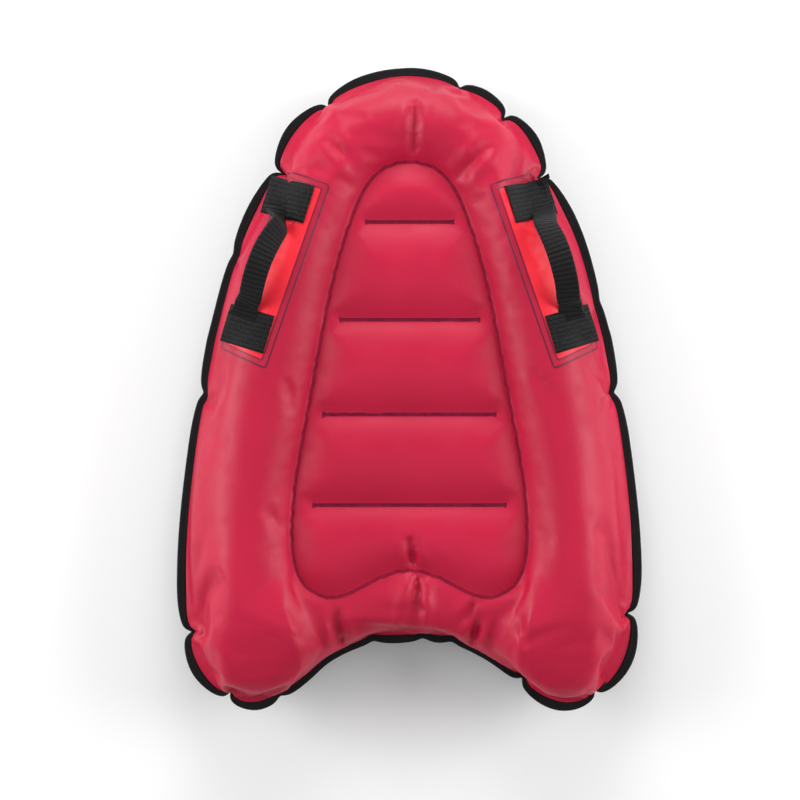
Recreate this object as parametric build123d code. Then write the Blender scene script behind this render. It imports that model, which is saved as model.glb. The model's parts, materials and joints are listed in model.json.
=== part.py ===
from build123d import *
import math
import os

# Inflatable bodyboard, lying on its underside.  Millimetres; +X to the rider's right,
# +Y towards the nose, +Z up.  The origin is the centre of the board on the floor.

# ---- air chamber ----------------------------------------------------------------------
SEAM_Z = 58.0            # height of the perimeter seam above the floor
SKIN = 1.0               # coated fabric
PANEL_HALF = 36.0        # half thickness at the ring baffle
MAX_CREST = 63.0         # half thickness of the fattest tube
FULLNESS = 0.96          # tube crest as a share of a round tube's radius
LIP = 0.6                # thickness of each skin's welding lip
LIP_INSET = 2.0          # from the rim to the lips' edge
BINDING_WIDTH = 9.0      # edge tape, from the seam to the rim
BINDING_THICK = 3.2
LIP_OVERLAP = 0.7        # how far each lip runs in past the seam, into its skin
SLOT_PLAY = 0.5          # inside the folded tape, past the lips' edge
LAP = 6.0                # how far the tube's curve runs down below the panel's level
PANEL_SPREAD = 2.0       # how far the flat panel runs in under the tube
PANEL_INSET = 1.0        # from the ring to the edge of the panel's own sheet
CENTRE = Plane.YZ        # the board's plane of symmetry

# Right half of the rim, nose to the middle of the tail.
RIM_HALF = [
    (0, 356), (58, 345), (108, 318), (142, 282), (162, 238), (188, 182), (210, 110), (229, 30), (246, -75),
    (255, -160), (257, -232), (250, -292), (228, -330), (178, -356), (136, -343), (98, -308), (61, -287), (0, -280),
]
# Right half of the welded ring round the chest panel.
RING_HALF = [
    (0, 248), (36, 235), (62, 190), (92, 80), (108, -7), (124, -100), (128, -165), (114, -213), (88, -226),
    (44, -210), (0, -196),
]
# How the tube's sections run from the ring to the rim: share of the half rim, share of the half ring.
FAN = [(0, 0), (0.14, 0.08), (0.27, 0.23), (0.54, 0.65), (0.62, 0.745), (0.69, 0.785), (0.87, 0.85), (1, 1)]
SECTIONS = 72            # tube sections on each side
ARC_POINTS = 9           # points on each tube section

# ---- baffles ---------------------------------------------------------------------------
WEB = 0.8                # baffle sheet
CROSS_BAFFLES = [(182, 45), (76, 73), (-27, 91), (-125, 102)]     # (y, half width)
AIR_HOLE = 14.0          # radius of the holes that join the chambers
AIR_HOLE_PLACES = [(0, 248), (92, 80), (124, -100), (0, -196)]

# ---- handles (right side; the left one is its mirror image) ----------------------------
PATCH = 0.5
PATCH_CORNERS = [(83, 224), (137, 241), (209, 42), (151, 19)]
PATCH_RADIUS = 5.0
WEBBING_WIDTH = 50.0
WEBBING = 2.0
FRONT_TAB = (132, 206)   # centre of the front sewn end
REAR_TAB = (175, 66)     # centre of the rear sewn end
TAB_LENGTH = 42.0
STITCH = 0.5             # thread standing on the webbing
STITCH_LINE = 1.2        # width of a stitch row
STITCH_EDGE = 4.0        # from the webbing's edge to the stitch row
GRIP_WIDTH = 25.0        # webbing folded in half
GRIP_THICK = 4.5
GRIP_RISE = 28.0         # crown of the grip above its hinge line
GRIP_LEAN = 10.0         # degrees inboard of upright at rest
GRIP_END = 4.0           # half width where the grip meets its tab
GRIP_TAPER = 26.0        # length over which the grip narrows
GRIP_GAP = 2.5           # from a tab to the grip
HINGE_LIFT = 7.0         # hinge line above the tube

# ---- valve, in the underside of the chest panel ----------------------------------------
VALVE_Y = 129.0
FLANGE_RADIUS = 28.0
FLANGE = 1.2
NECK_OUTER = 17.0
NECK_INNER = 15.0
BODY_BORE = 13.0
BODY_RIM = 18.0
RIM_THICK = 2.0
BODY_BELOW = 8.0         # from the panel's outer face down to the rim's underside
BODY_ABOVE = 3.0         # from the same face up to the body's inner end
LID_THICK = 2.0
PLUG_RADIUS = 12.8
PLUG_END = 11.8
PLUG_DEPTH = 7.0
PORT_RADIUS = 8.5        # pump opening
PORT_BOSS = 10.6
PORT_BELOW = 3.0         # boss below the deflation lid
PORT_LENGTH = 11.0
SPIDER = 1.2
SPIDER_HOLE = 2.4
SPIDER_HOLE_OUT = 5.0    # valve centre to each of the spider's holes
SPIDER_LAP = 0.5         # how far the spider runs into the port's wall
STEM = 1.5
FLAP_RADIUS = 7.4
FLAP = 0.8
CAP_RADIUS = 11.0
CAP_THICK = 1.8
CAP_PLUG = 8.3
CAP_PLUG_END = 7.6
CAP_DEPTH = 5.0
SEAL = 0.7               # section radius of both seal rings
HINGE_OUT = 22.0         # valve centre to the deflation lid's hinge
CAP_HINGE_OUT = 14.5     # valve centre to the inflation cap's hinge
ARM_WIDTH = 8.0
HINGE_GAP = 1.0          # from a hinge line to the ears beside it
HINGE_BEAD = 0.8
SEAT_GAP = 0.1           # between a lid and the rim it closes on
EAR = 1.3
TAB = 3.5                # thumb tabs
STEM_PLAY = 0.08
STEM_REACH = 2.2         # the stem's end below the port's inner end
BEAD_OUT = 0.8           # retaining bead, outside the stem
BEAD_LOW = 3.2           # both ends of the bead below the port's inner end
BEAD_HIGH = 1.8
CAP_WALL = 2.0           # wall of the cap's hollow plug
CAP_FLOOR = 0.6
SEAL_SINK = 0.6          # centre of a seal ring inside its plug's face
LID_SEAL_UP = 2.0        # seal rings above their lids' seats
CAP_SEAL_UP = 1.5

os.makedirs("parts", exist_ok=True)


def write(node, shape):
    """One STEP file per node."""
    shape.label = node
    export_step(shape, f"parts/{node}.step")


def closed_curve(half):
    """A smooth closed curve through a half outline and its mirror image."""
    return Spline(*(half + [(-x, y) for x, y in reversed(half[1:-1])]), periodic=True)


RIM = closed_curve(RIM_HALF)
RING = closed_curve(RING_HALF)


def inset_point(curve, share, inset):
    """A point of a curve's right half, moved inwards."""
    along = curve.tangent_at(share / 2)
    return curve.position_at(share / 2) + Vector(along.Y, -along.X, 0) * inset


def inset_face(curve, inset):
    """The plan inside a closed curve moved inwards, in the same short runs as the tube's sections."""
    half = [inset_point(curve, k / SECTIONS, inset) for k in range(SECTIONS + 1)]
    right = [(0 if k in (0, SECTIONS) else point.X, point.Y) for k, point in enumerate(half)]
    left = [(-x, y) for x, y in reversed(right[1:-1])]
    return make_face(Polyline(*right, *left, close=True))


def slab(face, low, high):
    """A plan face made solid between two heights."""
    return extrude(Pos(0, 0, low) * face, high - low, dir=(0, 0, 1))


# ---- air chamber -----------------------------------------------------------------------
SEAM_PLANE = Plane.XY.offset(SEAM_Z)
WHOLE = 2000.0


def beyond(x, z):
    """The space above a height and to the right of an upright plane."""
    return Pos(x, 0, z) * Box(WHOLE, WHOLE, WHOLE, align=(Align.MIN, Align.CENTER, Align.MIN))


def ring_share(rim_share):
    """The share of the half ring that goes with a share of the half rim."""
    for (rim_low, ring_low), (rim_high, ring_high) in zip(FAN, FAN[1:]):
        if rim_share <= rim_high:
            return ring_low + (ring_high - ring_low) * (rim_share - rim_low) / (rim_high - rim_low)


def tube_section(share, grow):
    """Upright slice of the tube's upper half: an elliptical arc that meets the seam plane upright."""
    foot = RING.position_at(ring_share(share) / 2)
    span = inset_point(RIM, share, BINDING_WIDTH) - foot
    reach = span.length
    crest = min(MAX_CREST, FULLNESS * (reach**2 + PANEL_HALF**2) / (2 * reach))
    semi = reach / (1 + math.sqrt(1 - (PANEL_HALF / crest) ** 2))
    sweep = math.pi - math.asin((PANEL_HALF + grow - LAP) / (crest + grow))
    angles = [sweep * k / ARC_POINTS for k in range(ARC_POINTS + 1)]
    arc = [(reach - semi + (semi + grow) * math.cos(a), (crest + grow) * math.sin(a)) for a in angles]
    corners = [arc[-1], (arc[-1][0], -LAP), (arc[0][0], -LAP), arc[0]]
    plane = Plane(origin=foot + Vector(0, 0, SEAM_Z), x_dir=span, z_dir=span.cross(Vector(0, 0, 1)))
    return plane * make_face([Spline(*arc), Polyline(*corners)])


def half_tube(grow):
    """The right-hand tube above the seam plane, with its surface moved out by a distance."""
    sections = [tube_section(k / SECTIONS, grow) for k in range(SECTIONS + 1)]
    return loft(sections, ruled=True) & beyond(0, SEAM_Z)


def upper_half(grow):
    """Both tubes and the panel between them."""
    tube = half_tube(grow)
    panel = slab(inset_face(RING, -PANEL_SPREAD), SEAM_Z, SEAM_Z + PANEL_HALF + grow)
    return tube + mirror(tube, about=CENTRE) + panel


def lip(low):
    """Flat welding lip outside the seam."""
    ring = inset_face(RIM, LIP_INSET) - inset_face(RIM, BINDING_WIDTH + LIP_OVERLAP)
    return slab(ring, low, low + LIP)


def disc(radius, low, high):
    """A cylinder on the valve's centre line."""
    return Pos(0, VALVE_Y, low) * Cylinder(radius, high - low, align=(Align.CENTER, Align.CENTER, Align.MIN))


OUTER = upper_half(0)
INNER = upper_half(-SKIN)
PANEL_LOW = SEAM_Z - PANEL_HALF
PANEL_HIGH = SEAM_Z + PANEL_HALF


def panel_sheet(low, high):
    return slab(inset_face(RING, PANEL_INSET), low, high)


def top_skin():
    """Upper half of the fat tube, up to the panel's sheet."""
    return OUTER - INNER - panel_sheet(SEAM_Z, PANEL_HIGH + SKIN) + lip(SEAM_Z)


def bottom_skin():
    """The upper shell turned over and pressed flat where it bears on the floor."""
    outside = mirror(OUTER, about=SEAM_PLANE) & beyond(-WHOLE / 2, 0)
    inside = mirror(INNER, about=SEAM_PLANE) & beyond(-WHOLE / 2, SKIN)
    return outside - inside - panel_sheet(PANEL_LOW - SKIN, SEAM_Z) + lip(SEAM_Z - LIP)


def top_panel():
    return panel_sheet(PANEL_HIGH - SKIN, PANEL_HIGH)


def bottom_panel():
    """Flat sheet in the ring, with the hole for the valve's neck."""
    return panel_sheet(PANEL_LOW, PANEL_LOW + SKIN) - disc(NECK_OUTER, PANEL_LOW, PANEL_LOW + SKIN)


def edge_binding():
    """Tape folded round both lips."""
    tape = inset_face(RIM, 0) - inset_face(RIM, BINDING_WIDTH - SKIN)
    slot = inset_face(RIM, LIP_INSET - SLOT_PLAY) - inset_face(RIM, BINDING_WIDTH)
    channel = slab(tape, SEAM_Z - BINDING_THICK / 2, SEAM_Z + BINDING_THICK / 2)
    return channel - slab(slot, SEAM_Z - LIP, SEAM_Z + LIP)


# ---- baffles ---------------------------------------------------------------------------
BAFFLE_HALF = PANEL_HALF - SKIN


def ring_baffle():
    """Upright sheet on the ring, joining both skins, with holes between the chambers."""
    plan = inset_face(RING, 0) - inset_face(RING, WEB)
    wall = slab(plan, SEAM_Z - BAFFLE_HALF, SEAM_Z + BAFFLE_HALF)
    for x, y in AIR_HOLE_PLACES:
        turn = (90, 0, 0) if x == 0 else (0, 90, 0)
        wall -= Pos(x, y, SEAM_Z) * Rot(*turn) * Cylinder(AIR_HOLE, 2 * AIR_HOLE)
        if x:
            wall -= Pos(-x, y, SEAM_Z) * Rot(*turn) * Cylinder(AIR_HOLE, 2 * AIR_HOLE)
    return wall


def cross_baffle(y, half_width):
    """Upright sheet across the chest panel; its ends stop short of the ring."""
    return Pos(0, y, SEAM_Z) * Box(2 * half_width, WEB, 2 * BAFFLE_HALF)


# ---- handles ---------------------------------------------------------------------------
STRAP = Vector(REAR_TAB[0] - FRONT_TAB[0], REAR_TAB[1] - FRONT_TAB[1], 0).normalized()
STRAP_TURN = math.degrees(math.atan2(STRAP.X, -STRAP.Y))
TUBE_TOP = half_tube(0)
PATCH_TOP = half_tube(PATCH)
WEBBING_TOP = half_tube(PATCH + WEBBING)


def laid(upper, lower, plan):
    """A layer between two tube surfaces, cut to a plan."""
    return (upper - lower) & slab(plan, SEAM_Z, SEAM_Z + 2 * MAX_CREST)


def handle_patch():
    plan = make_face(Polyline(*PATCH_CORNERS, close=True))
    return laid(PATCH_TOP, TUBE_TOP, fillet(plan.vertices(), PATCH_RADIUS))


def tab_plan(centre, width, length):
    return Pos(*centre) * Rot(0, 0, STRAP_TURN) * Rectangle(width, length)


def tab(centre):
    return laid(WEBBING_TOP, PATCH_TOP, tab_plan(centre, WEBBING_WIDTH, TAB_LENGTH))


def stitch_plan(centre):
    """A box with a cross in it."""
    wide = WEBBING_WIDTH - 2 * STITCH_EDGE
    long = TAB_LENGTH - 2 * STITCH_EDGE
    box = tab_plan(centre, wide, long) - tab_plan(centre, wide - 2 * STITCH_LINE, long - 2 * STITCH_LINE)
    slant = math.degrees(math.atan2(long - STITCH_LINE, wide - STITCH_LINE))
    reach = math.hypot(long - STITCH_LINE, wide - STITCH_LINE)
    for turn in (slant, -slant):
        box += Pos(*centre) * Rot(0, 0, STRAP_TURN + turn) * Rectangle(reach, STITCH_LINE)
    return box


def stitching():
    """Both ends' stitch rows, standing on the webbing."""
    thread = half_tube(PATCH + WEBBING + STITCH)
    rows = [laid(thread, WEBBING_TOP, stitch_plan(centre)) for centre in (FRONT_TAB, REAR_TAB)]
    return Compound(children=[solid for row in rows for solid in row.solids()])


def hinge_point(centre, way):
    """Where the grip leaves a tab, above the tube."""
    plan = Vector(*centre, 0) + STRAP * way * (TAB_LENGTH / 2 + GRIP_GAP)
    down = Axis((plan.X, plan.Y, WHOLE), (0, 0, -1))
    hits = [point for point, normal in TUBE_TOP.find_intersection_points(down)]
    return Vector(plan.X, plan.Y, max(point.Z for point in hits) + HINGE_LIFT)


FRONT_HINGE = hinge_point(FRONT_TAB, 1)
REAR_HINGE = hinge_point(REAR_TAB, -1)


def grip():
    """Folded webbing arched from tab to tab, narrow at its ends."""
    along = REAR_HINGE - FRONT_HINGE
    half = along.length / 2
    upright = Vector(0, 0, 1).rotate(Axis((0, 0, 0), along), GRIP_LEAN)
    width = along.cross(upright)
    arch = Plane(origin=(FRONT_HINGE + REAR_HINGE) * 0.5, x_dir=along, z_dir=width)
    rise = GRIP_RISE if arch.y_dir.Z > 0 else -GRIP_RISE
    line = ThreePointArc((-half, 0), (0, rise), (half, 0))
    band = make_face(offset(line, GRIP_THICK / 2, side=Side.BOTH))
    bar = extrude(arch * band, GRIP_WIDTH / 2, both=True)
    plan = Plane(origin=arch.origin, x_dir=along, z_dir=arch.y_dir)
    inner = half - GRIP_TAPER
    end = half + GRIP_END
    side = [(-end, GRIP_END), (-inner, GRIP_WIDTH / 2), (inner, GRIP_WIDTH / 2), (end, GRIP_END)]
    taper = make_face(Polyline(*side, *[(x, -y) for x, y in reversed(side)], close=True))
    return bar & extrude(plan * taper, 2 * GRIP_RISE, both=True)


# ---- valve -----------------------------------------------------------------------------
RIM_LOW = PANEL_LOW - BODY_BELOW
LID_LOW = RIM_LOW - LID_THICK
PORT_LOW = LID_LOW - PORT_BELOW
PORT_TOP = PORT_LOW + PORT_LENGTH
CAP_LOW = PORT_LOW - CAP_THICK
LID_SEAL = PLUG_RADIUS - SEAL_SINK
LID_SEAL_Z = RIM_LOW + LID_SEAL_UP
CAP_SEAL = CAP_PLUG - SEAL_SINK
CAP_SEAL_Z = PORT_LOW + CAP_SEAL_UP


def cone(low_radius, high_radius, low, high):
    up = (Align.CENTER, Align.CENTER, Align.MIN)
    return Pos(0, VALVE_Y, low) * Cone(low_radius, high_radius, high - low, align=up)


def bar(start, end, low, high):
    """A flat arm along Y from the valve's centre line."""
    middle = (start + end) / 2
    return Pos(0, VALVE_Y + middle, (low + high) / 2) * Box(ARM_WIDTH, abs(end - start), high - low)


def seal_ring(radius, height):
    return Pos(0, VALVE_Y, height) * Torus(radius, SEAL)


def living_hinge(out, height):
    """Round bead along a lid's hinge line."""
    return Pos(0, VALVE_Y + out, height) * Rot(0, 90, 0) * Cylinder(HINGE_BEAD, ARM_WIDTH)


def valve_flange():
    """Soft flange welded to the inside of the skin, with a neck that passes out through it."""
    face = PANEL_LOW + SKIN
    shape = disc(FLANGE_RADIUS, face, face + FLANGE) + disc(NECK_OUTER, RIM_LOW + RIM_THICK, face + FLANGE)
    return shape - disc(NECK_INNER, RIM_LOW, face + 2 * FLANGE)


def valve_body():
    """Stiff ring held in the neck, with a rim and a hinge ear towards the nose."""
    shape = disc(NECK_INNER, RIM_LOW, PANEL_LOW + BODY_ABOVE) + disc(BODY_RIM, RIM_LOW, RIM_LOW + RIM_THICK)
    shape += bar(BODY_BORE, HINGE_OUT - HINGE_GAP, RIM_LOW, RIM_LOW + RIM_THICK)
    return shape - disc(BODY_BORE, RIM_LOW, PANEL_LOW + BODY_ABOVE)


def deflation_lid():
    """Wide lid with the pump port through it; a spider carries the check flap."""
    seat = RIM_LOW - SEAT_GAP
    shape = disc(BODY_RIM, LID_LOW, seat) + cone(PLUG_RADIUS, PLUG_END, seat, RIM_LOW + PLUG_DEPTH)
    shape += disc(PORT_BOSS, PORT_LOW, RIM_LOW)
    shape -= disc(PORT_RADIUS, PORT_LOW, RIM_LOW + PLUG_DEPTH)
    shape += disc(PORT_RADIUS + SPIDER_LAP, PORT_TOP, PORT_TOP + SPIDER)
    for turn in range(4):
        place = Pos(0, VALVE_Y, PORT_TOP) * Rot(0, 0, 90 * turn + 45) * Pos(SPIDER_HOLE_OUT, 0, 0)
        shape -= place * Cylinder(SPIDER_HOLE, 4 * SPIDER)
    shape -= disc(STEM + STEM_PLAY, PORT_TOP - SPIDER, PORT_TOP + 2 * SPIDER)
    shape -= seal_ring(LID_SEAL, LID_SEAL_Z)
    shape += bar(BODY_BORE, HINGE_OUT - HINGE_GAP, LID_LOW, RIM_LOW - SEAT_GAP)
    shape += bar(-BODY_BORE, -BODY_RIM - TAB, LID_LOW, RIM_LOW - LID_THICK / 2)
    return shape + bar(-PORT_RADIUS - 1, -CAP_HINGE_OUT + HINGE_GAP, PORT_LOW, PORT_LOW + EAR)


def check_flap():
    """Soft disc on the inner side of the spider, with a stem and a retaining bead."""
    seat = PORT_TOP + SPIDER
    shape = disc(FLAP_RADIUS, seat, seat + FLAP) + disc(STEM, PORT_TOP - STEM_REACH, seat)
    return shape + disc(STEM + BEAD_OUT, PORT_TOP - BEAD_LOW, PORT_TOP - BEAD_HIGH)


def inflation_cap():
    """Small plug cap over the pump port."""
    seat = PORT_LOW - SEAT_GAP
    shape = disc(CAP_RADIUS, CAP_LOW, seat) + cone(CAP_PLUG, CAP_PLUG_END, seat, PORT_LOW + CAP_DEPTH)
    shape -= disc(CAP_PLUG - CAP_WALL, PORT_LOW + CAP_FLOOR, PORT_LOW + CAP_DEPTH)
    shape -= seal_ring(CAP_SEAL, CAP_SEAL_Z)
    shape += bar(CAP_RADIUS - 1, CAP_RADIUS + TAB, CAP_LOW, CAP_LOW + EAR)
    return shape + bar(-CAP_RADIUS + 1, -CAP_HINGE_OUT + HINGE_GAP, CAP_LOW, CAP_LOW + EAR)


for node, shape in [
    ("top_skin", top_skin()),
    ("bottom_skin", bottom_skin()),
    ("top_panel", top_panel()),
    ("bottom_panel", bottom_panel()),
    ("edge_binding", edge_binding()),
    ("ring_baffle", ring_baffle()),
]:
    write(node, shape)
for number, (y, half_width) in enumerate(CROSS_BAFFLES, start=1):
    write(f"cross_baffle_{number}", cross_baffle(y, half_width))
for node, shape in [
    ("handle_patch", handle_patch()),
    ("front_tab", tab(FRONT_TAB)),
    ("rear_tab", tab(REAR_TAB)),
    ("stitching", stitching()),
    ("grip", grip()),
]:
    write(f"right_{node}", shape)
    write(f"left_{node}", mirror(shape, about=CENTRE))
for node, shape in [
    ("valve_flange", valve_flange()),
    ("valve_body", valve_body()),
    ("deflation_lid", deflation_lid()),
    ("deflation_seal", seal_ring(LID_SEAL, LID_SEAL_Z)),
    ("deflation_hinge", living_hinge(HINGE_OUT, RIM_LOW)),
    ("check_flap", check_flap()),
    ("inflation_cap", inflation_cap()),
    ("inflation_seal", seal_ring(CAP_SEAL, CAP_SEAL_Z)),
    ("inflation_hinge", living_hinge(-CAP_HINGE_OUT, PORT_LOW)),
]:
    write(node, shape)
print("right grip hinge", FRONT_HINGE, REAR_HINGE)
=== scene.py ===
import json
import math
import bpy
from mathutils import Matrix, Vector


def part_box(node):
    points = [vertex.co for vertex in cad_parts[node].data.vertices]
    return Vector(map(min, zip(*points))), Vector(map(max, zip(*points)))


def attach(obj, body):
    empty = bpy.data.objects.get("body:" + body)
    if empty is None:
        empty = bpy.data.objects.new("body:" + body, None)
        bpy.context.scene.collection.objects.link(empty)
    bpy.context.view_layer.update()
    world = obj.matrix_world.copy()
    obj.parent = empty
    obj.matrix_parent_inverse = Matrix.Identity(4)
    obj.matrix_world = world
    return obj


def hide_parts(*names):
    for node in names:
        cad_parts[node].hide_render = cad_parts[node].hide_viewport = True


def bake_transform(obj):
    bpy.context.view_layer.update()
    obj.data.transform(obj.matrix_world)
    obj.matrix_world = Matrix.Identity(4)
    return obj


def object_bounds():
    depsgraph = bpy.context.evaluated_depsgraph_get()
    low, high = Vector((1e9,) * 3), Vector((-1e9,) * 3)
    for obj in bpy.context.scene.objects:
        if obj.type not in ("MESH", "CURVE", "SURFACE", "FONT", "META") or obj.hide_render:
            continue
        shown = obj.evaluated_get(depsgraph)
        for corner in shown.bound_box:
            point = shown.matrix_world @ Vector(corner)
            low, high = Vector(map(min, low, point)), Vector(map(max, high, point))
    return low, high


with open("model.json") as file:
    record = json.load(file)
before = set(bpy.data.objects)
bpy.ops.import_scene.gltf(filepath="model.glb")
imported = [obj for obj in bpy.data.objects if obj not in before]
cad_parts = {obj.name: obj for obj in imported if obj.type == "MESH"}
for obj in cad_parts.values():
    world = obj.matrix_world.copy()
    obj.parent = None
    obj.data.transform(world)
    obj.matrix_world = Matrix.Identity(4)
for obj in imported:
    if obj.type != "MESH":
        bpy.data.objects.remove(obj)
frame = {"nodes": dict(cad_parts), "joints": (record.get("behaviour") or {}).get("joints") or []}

from types import SimpleNamespace

import bmesh
import bpy
import numpy as np
from mathutils import Vector
from mathutils.bvhtree import BVHTree
from mathutils.geometry import delaunay_2d_cdt
from numpy.linalg import norm

# Inflatable bodyboard: the fabric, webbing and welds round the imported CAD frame. Metres.

CAD_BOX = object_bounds()
NODES = frame["nodes"]


def middle(node):
    low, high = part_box(node)
    return (Vector(low) + Vector(high)) / 2


# ---- driving values: heights and lines come from the frame ------------------------------
SEAM_Z = middle("ring_baffle").z
PANEL_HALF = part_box("top_panel")[1][2] - SEAM_Z
MAX_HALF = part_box("top_skin")[1][2] - SEAM_Z
VALVE = middle("valve_body")
NECK_RADIUS = 0.0172  # hole in the lower skin for the valve's neck
VALVE_STEPS = 24  # points round that hole
VALVE_FLAT = 0.034  # radius of fabric held flat by the valve's flange
VALVE_EASE = 0.072  # where the fabric is free of it again

MESH_STEP = 0.0068  # fabric mesh before subdivision
MESH_SEED = 3
SCATTER = 0.06  # of the mesh's loose points, as a share of a step
GUIDE_SHARE = 0.8  # from a seam or weld to the row of points beside it, in steps
CLEAR_SHARE = 0.7  # from any row of points to the nearest loose point, in steps
MEET_SHARE = 0.45  # from a crease's points to another row, in steps
WELD_WIDTH = 0.0030  # pressed line of a weld
WELD_END = 0.0034  # radius of a cross weld's rounded end
WELD_SINK = 0.0004  # weld below the panel's CAD level
TAPE_WIDTH = 0.0088
TAPE_THICK = 0.0026
CREST_LIMIT = 0.96  # most that the tube's crest rises, as a share of its circle's radius
PLAN_SWING = 1.4  # how soon the fabric's plan lines swing from the ring to the seam
REACH_PASSES = 30  # smoothing of the tube's width along the seam
FLOOR_GAP = 0.0002  # between the underside and the floor

# Gathers in the seam: heading from the nose in degrees, clockwise, and depth in metres.
GATHERS = [
    (-16, 0.016), (-32, 0.017), (10, 0.009), (20, 0.012), (33, 0.018),
    (-52, 0.003), (-91, 0.006), (91, 0.007), (64, 0.002),
    (-137, 0.011), (-149, 0.014), (135, 0.012), (148, 0.015),
    (159, 0.009), (-157, 0.006), (170, 0.004), (177, 0.005), (-172, 0.004),
]
GATHER_WIDTH = 0.011  # along the seam
GATHER_PULL = 0.010  # how far the seam's points crowd towards a gather
GATHER_LIFT = 0.3  # how far a gather rises or sinks, as a share of its depth
GATHER_DRAG = 0.020  # how far in from the seam the gathers drag the fabric
PILLOW = 0.013  # rise of the panel's fabric between its welds
PILLOW_SPAN = 0.050  # distance between welds that gives that rise
PILLOW_REACH = 0.45 * PILLOW_SPAN

# Creases pressed into the upper skin. Each end is a heading and a share of the way from the ring weld
# to the rim, so that they follow the frame's own outlines; then the depth in metres.
CREASES = [
    ((1, 0.55), (1, 0.05), 0.0040), ((17.5, 0.55), (13, 0.10), 0.0035),
    ((-17.5, 0.60), (-14, 0.25), 0.0024), ((-165, 0.80), (-161.5, 0.20), 0.0065),
    ((178.5, 0.0), (180, -0.40), 0.0045), ((178.5, 0.80), (177.5, 0.05), 0.0070),
    ((181, 0.85), (180, 0.35), 0.0050), ((166.5, 0.50), (162.5, 0.05), 0.0050),
    ((166, 0.80), (163, 0.30), 0.0065), ((155.5, 0.40), (154.5, 0.20), 0.0030),
    ((-148, 0.45), (-150, 0.30), 0.0028), ((148, 0.50), (148.5, 0.30), 0.0026),
    ((-87, 0.20), (-99, 0.15), 0.0016), ((82.5, 0.25), (94.5, 0.30), 0.0016),
    ((-131, 0.20), (-137.5, 0.10), 0.0016),
]
CREASE_STRENGTH = 2.3
CREASE_HALF = 0.0046  # half width of a crease
CREASE_SHOULDER = 0.010  # from a crease to the raised fabric beside it
SHOULDER_HALF = 0.006  # half width of that raised fabric
SHOULDER_RISE = 0.45  # its rise, as a share of the crease's depth
CREASE_FADE = 0.006  # past a crease's ends
CREASE_CLEAR = 0.008  # from the ring weld, where creases die out

CLOTH_FRAMES = 26
CLOTH_SETTINGS = {
    "quality": 6, "mass": 0.012, "air_damping": 2, "tension_stiffness": 60, "compression_stiffness": 60,
    "shear_stiffness": 20, "bending_stiffness": 0.6, "use_pressure": True, "uniform_pressure_force": 30.0,
}
SPARE_FABRIC = 0.05  # extra length of fabric near the seam
SPARE_REACH = 0.045  # how far in from the seam that is
SPARE_LEAST = 0.01  # share of it that is too little to count


# ---- plan curves -----------------------------------------------------------------------
def area_sign(curve):
    after = np.roll(curve, -1, 0)
    return 1 if np.sum(curve[:, 0] * after[:, 1] - after[:, 0] * curve[:, 1]) > 0 else -1


def outward(curve):
    """Unit vectors pointing out of a closed curve."""
    along = np.roll(curve, -1, 0) - np.roll(curve, 1, 0)
    along /= norm(along, axis=1)[:, None]
    return np.stack([along[:, 1], -along[:, 0]], 1) * area_sign(curve)


def evenly(curve, step):
    """The closed curve again, with points a step apart."""
    loop = np.vstack([curve, curve[:1]])
    run = np.r_[0, np.cumsum(norm(np.diff(loop, axis=0), axis=1))]
    count = int(round(run[-1] / step))
    place = np.arange(count) * run[-1] / count
    return np.stack([np.interp(place, run, loop[:, axis]) for axis in (0, 1)], 1)


def smoothed(values, passes):
    for _ in range(passes):
        values = (np.roll(values, 1, 0) + 2 * values + np.roll(values, -1, 0)) / 4
    return values


def inside(points, curve):
    """Which points lie inside a closed curve."""
    x, y = points[:, 0], points[:, 1]
    result = np.zeros(len(points), bool)
    for (x1, y1), (x2, y2) in zip(curve, np.roll(curve, -1, 0)):
        if y1 != y2:
            result ^= ((y1 > y) != (y2 > y)) & (x < (x2 - x1) * (y - y1) / (y2 - y1) + x1)
    return result


def nearest(points, curve):
    """Distance from each point to the nearest point of a curve, and which one that is."""
    gap = np.full(len(points), np.inf)
    which = np.zeros(len(points), int)
    for start in range(0, len(curve), 256):
        far = norm(points[:, None] - curve[None, start:start + 256], axis=2)
        closer = far.min(1) < gap
        which[closer] = far.argmin(1)[closer] + start
        gap[closer] = far.min(1)[closer]
    return gap, which


def vertices_of(node):
    mesh = NODES[node].data
    flat = np.zeros(len(mesh.vertices) * 3)
    mesh.vertices.foreach_get("co", flat)
    return flat.reshape(-1, 3)


OUTLINE_STEPS = 1440  # places round an outline
OUTLINE_WINDOW = math.radians(1.2)  # either way of a vertex, where its outermost neighbour is sought
OUTLINE_BAND = 0.0035  # a vertex this close to that neighbour is on the outline
CURVE_STEP = 0.002
CURVE_PASSES = 12
SEAM_PASSES = 8


def outline_of(node):
    """Outer plan outline of a node that rings the origin, read off its vertices."""
    points = vertices_of(node)
    angle = np.arctan2(points[:, 0], points[:, 1])
    radius = np.hypot(points[:, 0], points[:, 1])
    order = np.argsort(angle)
    angle, radius = angle[order], radius[order]
    round_angle = np.r_[angle - 2 * math.pi, angle, angle + 2 * math.pi]
    round_radius = np.tile(radius, 3)
    low = np.searchsorted(round_angle, angle - OUTLINE_WINDOW)
    high = np.searchsorted(round_angle, angle + OUTLINE_WINDOW)
    highest = np.array([round_radius[first:last].max() for first, last in zip(low, high)])
    outer = radius > highest - OUTLINE_BAND
    grid = -math.pi + 2 * math.pi * np.arange(OUTLINE_STEPS) / OUTLINE_STEPS
    ends = np.r_[angle[outer] - 2 * math.pi, angle[outer], angle[outer] + 2 * math.pi]
    reach = np.interp(grid, ends, np.tile(radius[outer], 3))
    return np.stack([reach * np.sin(grid), reach * np.cos(grid)], 1)


def smooth_outline(node, step):
    return evenly(smoothed(evenly(outline_of(node), CURVE_STEP), CURVE_PASSES), step)


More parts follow.
